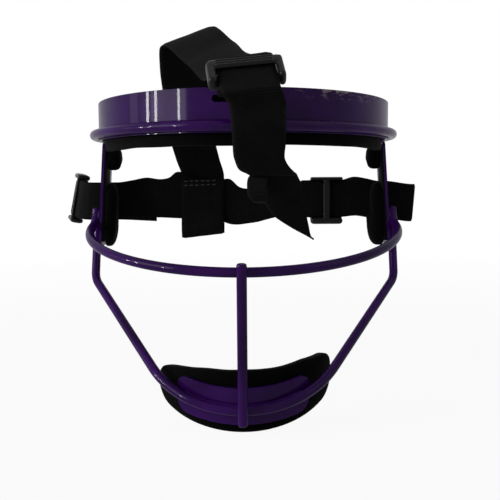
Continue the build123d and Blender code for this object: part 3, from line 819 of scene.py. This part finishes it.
def make_pillow(name, side, middle_z, width, height, thickness, droop=0):
    """Crowned cushion on a side plate's tape: a stadium outline, flat at the back."""
    back = 0.28
    rings = []
    for angle in even(pi, 14):
        if angle < pi / 2:
            spread = sin(angle) ** 0.55
            depth = back + (1 - back) * cos(angle) ** 0.75
        else:
            spread = sin(angle) ** 0.22
            depth = back * (1 - abs(cos(angle)) ** 0.5)
        spread = max(spread, 0.02)
        points = []
        for across, over in circle(56):
            y = across * width / 2
            z = over * width / 2 + copysign((height - width) / 2, over)
            swell = 1 + wave((y, z + middle_z, 0), 9, 0.06)
            swell *= 1 + droop * max(0, -z / height) ** 1.5
            x = plate_outer_x - pad_inset - thickness * depth * swell
            points.append(lean_out(side, x, plate_tape_y + y * spread, middle_z + z * spread))
        rings.append(points if side > 0 else points[::-1])
    loft(f"{name}_cushion", f"{name}_pad", rings, "foam")


make_brow_cushion()
make_chin_cushion()
for word, side in hands.items():
    make_pillow(f"{word}_temple", side, -11.6, width=13.4, height=13.4, thickness=7)
    droop = {"left": 0.2, "right": 1.3}[word]
    make_pillow(f"{word}_cheek", side, -43.85, width=14.6, height=36.5, thickness=6.2, droop=droop)


# Loop tape between the frame and the pads

def tape_strip(name, node, rows):
    """Flat tape from (lower place, upper place, way in) rows."""
    rings = []
    for low, high, inward in rows:
        depth = inward * tape_thickness
        edge = (high - low).normalized() * (tape_thickness / 3)
        rings.append([
            low, low + depth * 0.5 - edge * 0.4, low + depth + edge,
            high + depth - edge, high + depth * 0.5 + edge * 0.4, high,
        ])
    loft(name, node, rings, "tape")


def make_front_tape(word, curve, span):
    """Strip inside the band or the chin cup, to an angle on both sides."""
    low, high = box(f"{word}_pad_tape")
    rows = []
    for turn in even(2 * span, 90):
        place = inside(curve, tape_inset, turn - span)
        rows.append((place + up * low[2], place + up * high[2], -ray(turn - span)))
    tape_strip(f"{word}_tape_strip", f"{word}_pad_tape", rows)


def make_plate_tape(word, side):
    """Strip down the inner face of a side plate, with rounded ends."""
    top, bottom, corner = -4.6, -59.5, plate_tape_width / 4
    inward = at(-side * cos(plate_lean), 0, -sin(plate_lean))
    ends = [(0, 1), (0.3, 0.3), (1, 0)]
    places = [(top - corner * share, draw) for share, draw in ends]
    places += [(bottom + corner * share, draw) for share, draw in reversed(ends)]
    rows = []
    for z, draw in places:
        half = plate_tape_width / 2 - corner * draw
        x, low, high = plate_outer_x - tape_inset, plate_tape_y - half, plate_tape_y + half
        rows.append((lean_out(side, x, low, z), lean_out(side, x, high, z), inward))
    tape_strip(f"{word}_plate_tape_strip", f"{word}_plate_tape", rows)


make_front_tape("brow", band_curve, brow_span(sheet_thickness))
make_front_tape("chin", chin_curve, asin(box("chin_pad_tape")[1][0] / (cup_radius - tape_inset)))
for word, side in hands.items():
    make_plate_tape(word, side)


# Webbing

row_pitch = 1.1


def slopes_at(points, spans):
    """Slope of a curve at each point, weighted towards the nearer neighbour."""
    straight = [(after - before) / span for before, after, span in zip(points, points[1:], spans)]
    slopes = [straight[0]]
    for index, (before, after) in enumerate(zip(spans, spans[1:])):
        slopes.append(straight[index].lerp(straight[index + 1], before / (before + after)))
    return slopes + [straight[-1]]


def smooth_rows(rows):
    """Dense rows on a curve through (left, right) rows."""
    centres = [(left + right) / 2 for left, right in rows]
    spans = [max((b - a).length, 0.01) for a, b in zip(centres, centres[1:])]
    edges = []
    for points in zip(*rows):
        slopes = slopes_at(points, spans)
        edge = []
        for index, span in enumerate(spans):
            start, finish = points[index], points[index + 1]
            out, into = slopes[index] * (span / 3), slopes[index + 1] * (span / 3)
            count = max(2, ceil(span / row_pitch))
            edge += bezier(start, start + out, finish - into, finish, count)[:-1]
        edges.append(edge + [points[-1]])
    return list(zip(*edges))


def webbing(
    name, node, rows,
    thickness=strap_thickness, body="guard", ripple=0.12, finish="webbing",
):
    """Strap along (left, right) rows, with rounded selvedges and places for its weave."""
    dense = smooth_rows(rows)
    centres = [(left + right) / 2 for left, right in dense]
    shares = even(1, 14)
    around = [(1, share) for share in shares] + [(-1, 1 - share) for share in shares]
    rings, weave = [], []
    travelled = 0.0
    for index, (left, right) in enumerate(dense):
        travelled += (centres[index] - centres[max(index - 1, 0)]).length
        across = right - left
        normal = across.cross(run_at(centres, index)).normalized()
        ring = []
        for side, share in around:
            edge = min(share, 1 - share) * across.length
            half = max(thickness / 8, thickness / 2 - rounding(edge, thickness / 2))
            place = left + across * share
            ring.append(place + normal * (side * half + wave(place, 8, ripple)))
            weave += (share * across.length, travelled, 0.0)
        rings.append(ring)
    piece = loft(name, node, rings, finish, body)
    piece.data.attributes.new("weave", "FLOAT_VECTOR", "POINT").data.foreach_set("vector", weave)
    return piece


# Back strap. A row is a place along X, and the lower and upper edge as shares of the strap's
# width from its middle.
main_shares = [
    (-74, -0.46, 0.50), (-65, -0.46, 0.56), (-58, -0.45, 0.62), (-48, -0.45, 0.58),
    (-44, -0.46, 0.62), (-40, -0.47, 0.76), (-34, -0.48, 0.72), (-27, -0.49, 0.56),
    (-17, -0.50, 0.52), (-8, -0.64, 0.56), (-3, -0.65, 0.36), (2, -0.62, 0.31),
    (7, -0.59, 0.33), (13, -0.52, 0.40), (20, -0.45, 0.48), (30, -0.48, 0.50),
    (37, -0.47, 0.525), (48, -0.47, 0.525), (57.5, -0.46, 0.53), (64, -0.43, 0.61),
    (71, -0.44, 0.57), (78, -0.50, 0.50),
]
right_tail_shares = [(64, -0.43, 0.61), (57.5, -0.46, 0.53), (34, -0.47, 0.525)]
tail_end_x = {"left": -52, "right": 34}
bend_steps = 6
left_turn = radians(72)
left_tilt = radians(11)
fold_radius = layer_pitch / 2


def strap_row(middle, across=up, low=-0.5, high=0.5):
    """Lower and upper edge round a middle point, at shares of the strap's width."""
    return middle + across * low * strap_width, middle + across * high * strap_width


def fold_rows(centre, run, layer, across):
    """Rows half round a fold, from one layer to the other."""
    return [
        strap_row(centre + (layer * x + run * y) * fold_radius, across) for x, y in arc(pi, bend_steps)
    ]


def right_loop():
    """Rows from the right-hand slot out to the fold and back."""
    reach, drop, lean = 17.2, 2, radians(4.6)
    start = at(plate_outer_at(strap_z), slot_y, strap_z)
    fold = start + at(reach - fold_radius, 0, -drop)
    out, back = [strap_row(start + rear * layer) for layer in (-fold_radius, fold_radius)]
    return [out] + fold_rows(fold, aside, -rear, at(sin(lean), 0, cos(lean))) + [back]


def left_directions(share):
    """Run, layer and across directions of the left loop, at a share of its bend."""
    turn, tilt = left_turn * share, left_tilt * share
    level = at(-cos(tilt), 0, sin(tilt))
    run = level * cos(turn) + rear * sin(turn)
    layer = rear * cos(turn) - level * sin(turn)
    return run, layer, at(sin(tilt), 0, cos(tilt))


def left_loop_line():
    """Middle of the left loop from the slot, with its directions."""
    slot = at(-plate_outer_at(strap_z), slot_y, strap_z)
    straight, bend_radius = 7, 9.7
    place = slot - aside * straight
    line = [(slot, *left_directions(0)), (place, *left_directions(0))]
    for step in range(bend_steps):
        run = left_directions((step + 0.5) / bend_steps)[0]
        place = place + run * (bend_radius * left_turn / bend_steps)
        line.append((place, *left_directions((step + 1) / bend_steps)))
    return line


def left_loop():
    """Rows from the left-hand slot out to the fold and back."""
    line, reach = left_loop_line(), 26
    place, run, layer, across = line[-1]
    rows = [strap_row(p + a * fold_radius, w) for p, r, a, w in line]
    rows += fold_rows(place + run * (reach - fold_radius), run, layer, across)
    return rows + [strap_row(p - a * fold_radius, w) for p, r, a, w in reversed(line)]


def make_back_strap():
    """Elastic strap through both plate slots, doubled back at each end."""
    slot_x = plate_outer_x - sheet_thickness - layer_pitch

    def rows_at(y, shares):
        return [strap_row(at(x, y, strap_z), up, low, high) for x, low, high in shares]

    rows = rows_at(return_y, [(tail_end_x["left"], -0.55, 0.45), (-slot_x, -0.5, 0.5)])
    rows += left_loop() + rows_at(strap_y, main_shares) + right_loop()
    rows += rows_at(return_y, [(slot_x, -0.5, 0.5)] + right_tail_shares)
    webbing(
        "back_strap_webbing", "back_strap", rows,
    )


# Top strap: its adjuster's middle and directions, and the top of its loop round the back strap
adjuster_slope, adjuster_lean = radians(46), radians(8)
adjuster = at(2.5, band_front_y - 18.5, band_top_z + 4)
slope_up = at(0, cos(adjuster_slope), sin(adjuster_slope))
strap_up = slope_up * cos(adjuster_lean) - aside * sin(adjuster_lean)
strap_side = aside * cos(adjuster_lean) + slope_up * sin(adjuster_lean)
strap_out = at(0, -sin(adjuster_slope), cos(adjuster_slope))
loop_x = -24.4
loop_reach = strap_thickness + 0.45
loop_top_z = strap_z + strap_width / 2
loop_top = at(loop_x, strap_y, loop_top_z + 2 * strap_thickness)
tail_origin = at(0, band_front_y - 2 * wire_radius, 0)

# Rows of a left and a right place, in shares of the strap's width. First over the crown, from
# the loop's top
rear_run = [
    (-0.50, 0.06, 0.04, 0.50, 0.06, 0.04),
    (-0.60, -0.10, 0.40, 0.41, -0.12, 0.40),
    (-0.70, -0.42, 0.84, 0.32, -0.46, 0.84),
    (-0.76, -1.02, 1.66, 0.30, -1.08, 1.72),
    (-0.77, -1.72, 2.34, 0.28, -1.80, 2.56),
    (-0.72, -2.10, 2.64, 0.28, -2.24, 2.94),
    (-0.66, -2.30, 2.66, 0.34, -2.46, 2.98),
]
# The run down to the adjuster, from its middle
front_run = [
    (-1.12, 1.72, 0.36, -0.22, 1.64, 0.76),
    (-0.66, 0.62, -0.02, 0.16, 0.62, 0.37),
]
# The tail below the adjuster, from the rim wire's front
tail = [
    (-0.19, -0.82, 0.30, 0.77, -0.80, 0.31),
    (-0.16, -0.62, 0.12, 0.78, -0.60, 0.12),
    (-0.15, -0.34, -0.08, 0.79, -0.32, -0.08),
    (-0.14, -0.12, -0.34, 0.79, -0.10, -0.34),
    (-0.11, 0.06, -0.62, 0.79, 0.09, -0.62),
    (-0.02, 0.12, -0.80, 0.89, 0.16, -0.77),
    (0.12, 0.13, -0.865, 0.98, 0.17, -0.855),
    (0.15, 0.27, -0.888, 1.01, 0.32, -0.882),
    (0.11, 0.37, -1.03, 1.09, 0.39, -1.05),
    (0.14, 0.46, -1.23, 1.13, 0.48, -1.23),
    (0.38, 0.52, -1.36, 1.16, 0.56, -1.46),
    (0.56, 0.56, -1.60, 1.20, 0.60, -1.64),
    (0.78, 0.64, -1.77, 1.245, 0.68, -1.83),
    (1.08, 0.68, -1.95, 1.29, 0.72, -2.02),
    (1.31, 0.72, -2.06, 1.345, 0.73, -2.085),
]
# The edge that turns over at the tail's fold, from there too
turned_edge = [
    (0.16, 0.26, -0.885, 0.50, 0.26, -0.90),
    (0.117, 0.17, -0.952, 0.47, 0.19, -0.972),
    (0.106, 0.12, -1.111, 0.46, 0.15, -1.113),
    (0.123, 0.10, -1.244, 0.475, 0.15, -1.229),
    (0.194, 0.15, -1.335, 0.485, 0.20, -1.337),
    (0.265, 0.32, -1.366, 0.464, 0.34, -1.367),
]


def share_rows(origin, rows):
    """Rows of places from such shares, measured from an origin."""
    return [[origin + Vector(edge) * top_strap_width for edge in (row[:3], row[3:])] for row in rows]


def sewn_loop():
    """Rows of the loop round the back strap, from its sewn end."""
    drop, foot_slant = 9.5, 1.4
    foot_z = strap_z - strap_width / 2 - drop
    down = [(1, (loop_top_z + foot_z) / 2, 0), (1, foot_z + loop_reach, foot_slant)]
    down += [(0.5, foot_z + loop_reach / 4, foot_slant)]
    places = [(-1, loop_top_z + strap_thickness, 0)] + [(-share, z, slant) for share, z, slant in down]
    places += down[::-1] + [(1, loop_top_z - strap_thickness, 0)]
    rows = []
    for share, z, slant in places:
        middle = at(loop_x, strap_y + loop_reach * share, z)
        edge = at(top_strap_width / 2, 0, slant)
        rows.append((middle - edge, middle + edge))
    return rows


def make_top_strap():
    """One length of webbing: sewn loop, rear run, fold, straight run in the adjuster, tail."""
    shift = 0.6
    middle = adjuster + strap_side * shift
    edge = strap_side * (top_strap_width / 2)
    straight = [middle + strap_up * along for along in (9.6, 9, -11, -11.6)]
    rows = sewn_loop() + share_rows(loop_top, rear_run) + share_rows(adjuster, front_run)
    rows += [(place - edge, place + edge) for place in straight] + share_rows(tail_origin, tail)
    webbing(
        "top_strap_webbing", "top_strap", rows,
    )


def make_turned_edge():
    """Edge of the tail turned over in front of its fold, in a lighter copy of the webbing: painted
    highlight where it catches the light.
    """
    webbing(
        "top_strap_turned_edge", None, share_rows(tail_origin, turned_edge),
        # The lighter webbing finish here is painted highlight, not a different side of the strap
        thickness=strap_thickness * 0.9, finish="webbing_painted_lit",
    )


# Anchor loop, round the top adjuster's middle bar and the band's rail above the slot

slide_bar = 1.8
anchor_thickness = 1
anchor_clearance = 0.3
bar_radius = slide_bar / 2 + anchor_clearance
middle_bar_drop = strap_thickness / 2 + anchor_clearance + anchor_thickness + bar_radius


def belt(first, first_radius, second, second_radius):
    """Places in an upright plane round two circles, each place and radius along Y and Z."""
    span = second - first
    lean = atan2(span.y, span.x)
    spread = acos((first_radius - second_radius) / span.length)
    places = [first + Vector(way) * first_radius for way in arc(2 * pi - 2 * spread, 8, lean + spread)]
    places += [second + Vector(way) * second_radius for way in arc(2 * spread, 8, lean - spread)]
    return places + places[:1]


def make_anchor_loop():
    """Short webbing loop that holds the top adjuster in front of the band."""
    width, half, middle_x = 21, anchor_thickness / 2, 0.6
    rail = Vector((band_front_y + sheet_thickness / 2, band_top_z - band_rail_height / 2))
    rail_radius = hypot(sheet_thickness, band_rail_height) / 2 + anchor_clearance
    bar = adjuster - strap_out * middle_bar_drop
    sides = []
    for x in (middle_x - width / 2, middle_x + width / 2):
        place = bar + strap_side * ((x - bar.x) / strap_side.x)
        round_both = belt(place.yz, bar_radius + half, rail, rail_radius + half)
        sides.append([at(x, y, z) for y, z in round_both])
    piece = webbing(
        "anchor_loop_webbing", "top_adjuster_anchor_loop", list(zip(*sides)),
        thickness=anchor_thickness, body=None, ripple=0.0,
    )
    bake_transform(piece)


# Stitches

def stitch_row(name, start, finish):
    """Row of stitches, each one sunk at both ends."""
    length, pitch, radius = 2.2, 3.3, 0.28
    run = (finish - start).normalized()
    radii = [radius * sin(pi * (step + 0.6) / 7.2) for step in range(7)]
    points, faces = [], []
    for number in range(int((finish - start).length / pitch)):
        path = [start + run * (number * pitch + part) for part in even(length, 6)]
        faces += closed_faces(7, 8, len(points))
        points += [point for ring in tube_rings(path, radii, 8) for point in ring]
    mesh_piece(name, None, points, faces, "thread")


def make_seams():
    """Two rows across the sewn loop, and two across each end of the back strap."""
    sink, margin, slant = strap_thickness / 2 + 0.05, 1.6, 0.3
    half = at(top_strap_width / 2 - margin, 0, slant)
    for row, drop in ((1, -0.6), (2, 1.8)):
        middle = at(loop_x, strap_y - loop_reach - sink, loop_top_z - drop)
        stitch_row(f"sewn_loop_stitches_{row}", middle - half, middle + half)
    for row, reach in ((1, 3), (2, 5.2)):
        for word, side in sorted(hands.items()):
            x = tail_end_x[word] + side * reach
            ends = strap_row(at(x, return_y + sink, strap_z), up, -0.4, 0.4)
            stitch_row(f"{word}_hem_stitches_{row}", *ends)


make_back_strap()
make_top_strap()
make_turned_edge()
make_anchor_loop()
make_seams()


# Strap slides: rounded bars run together by a remesh, as in a moulding. A bar is given as its
# centre, its half sizes and its axis, in the strap's directions across, along and out.

slide_clearance = 0.45
bar_sides = 24


def moulded_bar(centre, half, axis):
    """Rings of a bar with rounded ends and sides."""
    first, second = [other for other in range(3) if other != axis]
    end_round = min(half[first], half[second]) * 0.9
    ends = [(half[axis] - end_round * (1 - y), end_round * (1 - x)) for x, y in arc(pi / 2, 4)]
    rings = []
    for along, shrink in [(-reach, shrink) for reach, shrink in reversed(ends)] + ends:
        ring = []
        for way in circle(bar_sides):
            place = [0.0, 0.0, 0.0]
            place[axis] = along
            for direction, share in zip((first, second), way):
                place[direction] = squared(share, 3.0) * (half[direction] - shrink)
            ring.append(Vector(place) + Vector(centre))
        rings.append(ring)
    return rings


def moulding(word, bars, origin, across, out):
    """Slide from its bars."""
    along = out.cross(across)
    points, faces = [], []
    for bar in bars:
        rings = moulded_bar(*bar)
        faces += closed_faces(len(rings), bar_sides, len(points))
        points += [origin + across * p.x + along * p.y + out * p.z for ring in rings for p in ring]
    node, body = f"{word}_strap_adjuster", f"{word}_adjuster"
    piece = mesh_piece(f"{word}_slide_moulding", node, points, faces, "plastic", body)
    modify(piece, "mould", "REMESH", mode="VOXEL", voxel_size=0.3 * mm, use_smooth_shade=True)
    modify(piece, "soft_edges", "SMOOTH", factor=0.5, iterations=4)


def side_bars(gap, front, back, upper, lower):
    """Rails beside the back strap, from inner to outer edge, and bars on both faces."""
    length, rail_width = 18.8, 2.3
    rail_x = (strap_width + 2 * slide_clearance + rail_width) / 2
    bars = []
    for side, (inner, outer) in ((1, upper), (-1, lower)):
        half = ((outer - inner) / 2, length / 2, gap / 2 + slide_bar)
        bars.append(((side * (inner + outer) / 2, 0, 0), half, 1))
    for share, side in [(share, 1) for share in front] + [(share, -1) for share in back]:
        breadth = slide_bar / 2 * (1.0 if share else 2.3)
        centre = (0, share * (length - slide_bar) / 2, side * (gap + slide_bar) / 2)
        bars.append((centre, (rail_x, breadth, slide_bar / 2), 0))
    return bars


def make_side_slides():
    """Right slide with its thick middle bar in front, and left one with an end bar in front."""
    right_x, left_reach, lug_half = 48.3, 11.2, (1.2, 1.9, 1.2)
    gap = layer_pitch + strap_thickness + 2 * slide_clearance
    bars = side_bars(gap, front=[0], back=[-1, 1], upper=(11.4, 13.4), lower=(10.2, 14.3))
    for x in (-9.6, 10.4):
        bars.append(((x, 0, gap / 2 + slide_bar * 0.62), lug_half, 0))
    moulding("right", bars, at(right_x, slot_y, strap_z), up, -rear)
    start, run, layer, across = left_loop_line()[-1]
    bars = side_bars(gap, front=[-1], back=[0, 1], upper=(11.4, 14.8), lower=(11.4, 14.6))
    moulding("left", bars, start + run * left_reach, across, -layer)


def make_top_slide():
    """Slide with a broad ribbed bar in front of the strap, and two bars behind."""
    length, grip, rib = 13.4, 5.4, 0.42
    span = top_strap_width + 2.2
    front = strap_thickness / 2 + slide_clearance + slide_bar
    back = middle_bar_drop + slide_bar / 2
    upper_z = front - slide_bar / 2
    grip_y = (length - grip) / 2

    def level_bar(y, z, breadth):
        return (0, y, z), (span / 2 + 1.5, breadth / 2, slide_bar / 2), 0

    bars = []
    for inner, outer in ((-12.2, -16.4), (13.3, 16.5)):
        half = (abs(outer - inner) / 2, length / 2, (front + back) / 2)
        bars.append((((inner + outer) / 2, 0, (front - back) / 2), half, 1))
    bars.append(level_bar(grip_y, upper_z, grip))
    for y in (-1.55, 0, 1.55):
        bars.append(((0, grip_y + y, front), (span / 2 - 1.5, rib, rib), 0))
    bars.append(level_bar((slide_bar - length) / 2, -upper_z, slide_bar))
    bars.append(level_bar(0, -middle_bar_drop, slide_bar))
    moulding("top", bars, adjuster, strap_side, strap_out)


make_side_slides()
make_top_slide()


# Stage, light and camera

def make_world():
    """Soft light from a room that looks white."""
    world = bpy.data.worlds.new("room")
    shade = Shade(world)
    plain = {"Color": (0.93, 0.95, 1.0, 1), "Strength": 0.14}
    room = shade.connect(shade.tree.nodes["Background"], plain)[0]
    white = shade.add("Background", {"Color": (1, 1, 1, 1)})[0]
    shade.mix(shade.seen(), room, white, "World Output")
    bpy.context.scene.world = world


def make_stage():
    """Pale floor that sweeps up into a backdrop, white to the camera."""
    half, bend, height = 3000, 600, 2500
    tone, near, far, near_white = 0.86, 0.25, 0.9, 0.93
    floor_z = cad_box[0][2] / mm - 0.5
    material = bpy.data.materials.new("stage")
    shade = Shade(material)
    shade.tree.nodes.remove(shade.tree.nodes["Principled BSDF"])
    place = shade.add("NewGeometry", {})["Position"]
    distance = shade.add("VectorMath", {0: place}, operation="LENGTH")["Value"]
    share = shade.maths("MULTIPLY", shade.seen(), shade.spread(distance, near_white, 1.0, near, far))
    cloth = shade.add("BsdfDiffuse", {"Color": (tone, tone, tone, 1)})[0]
    glow = shade.add("Emission", {"Color": (1, 1, 1, 1), "Strength": 1.0})[0]
    shade.mix(share, cloth, glow, "Material Output")
    sweep = [(half / 2 + bend * y, floor_z + bend * (1 - x)) for x, y in arc(pi / 2, 12)]
    sweep = [(-half, floor_z)] + sweep + [(half / 2 + bend, floor_z + height)]
    points = [(x, y, z) for y, z in sweep for x in (-half, half)]
    faces = [(2 * row, 2 * row + 1, 2 * row + 3, 2 * row + 2) for row in range(len(sweep) - 1)]
    mesh_object("stage", points, faces, material)


def make_lamp(name, place, width, height, power, aim=(0, 0, 0)):
    """Rectangular soft lamp turned towards a point."""
    data = bpy.data.lights.new(name, "AREA")
    give(data, shape="RECTANGLE", size=width, size_y=height, energy=power)
    turn = (Vector(aim) - Vector(place)).to_track_quat("-Z", "Y").to_euler()
    return give(new_object(name, data), location=place, rotation_euler=turn)


def make_streak(name, azimuth, width, power):
    """Upright lamp that shows only as a streak in the band's gloss."""
    distance, rise = 1.4, 0.12
    aim = up * rise * distance
    place = aim + ray(radians(azimuth)) * distance
    make_lamp(name, place, width, 0.34, power, aim).visible_diffuse = False


def make_camera():
    """Camera at the photograph's place and angle."""
    data = give(bpy.data.cameras.new("camera"), sensor_width=36.0, lens=57.6, clip_start=0.01)
    camera = new_object("camera", data)
    place = at(6, -453.5, -23) * mm
    yaw = Matrix.Rotation(radians(0.35), 4, "Z")
    pitch = Matrix.Rotation(radians(90 - 5.2), 4, "X")
    roll = Matrix.Rotation(radians(-0.35), 4, "Z")
    camera.matrix_world = Matrix.Translation(place) @ yaw @ pitch @ roll
    bpy.context.scene.camera = camera


make_world()
make_stage()
make_lamp("ceiling", (0.1, 0.2, 1.5), width=1.6, height=1.4, power=1.6)
make_lamp("left_fill", (-1.35, -0.62, 0.45), width=0.9, height=0.9, power=13)
make_lamp("right_fill", (1.3, -0.6, 0.8), width=0.7, height=0.9, power=1.5)
make_streak("strip_a", -84.5, width=0.06, power=5.4)
make_streak("strip_b", -76.4, width=0.06, power=5.4)
make_streak("strip_c", -55.0, width=0.05, power=4.8)
make_streak("glow_a", -99.0, width=0.2, power=0.42)
make_streak("glow_b", -51.5, width=0.2, power=0.7)
make_camera()
bpy.context.scene.view_settings.view_transform = "Standard"
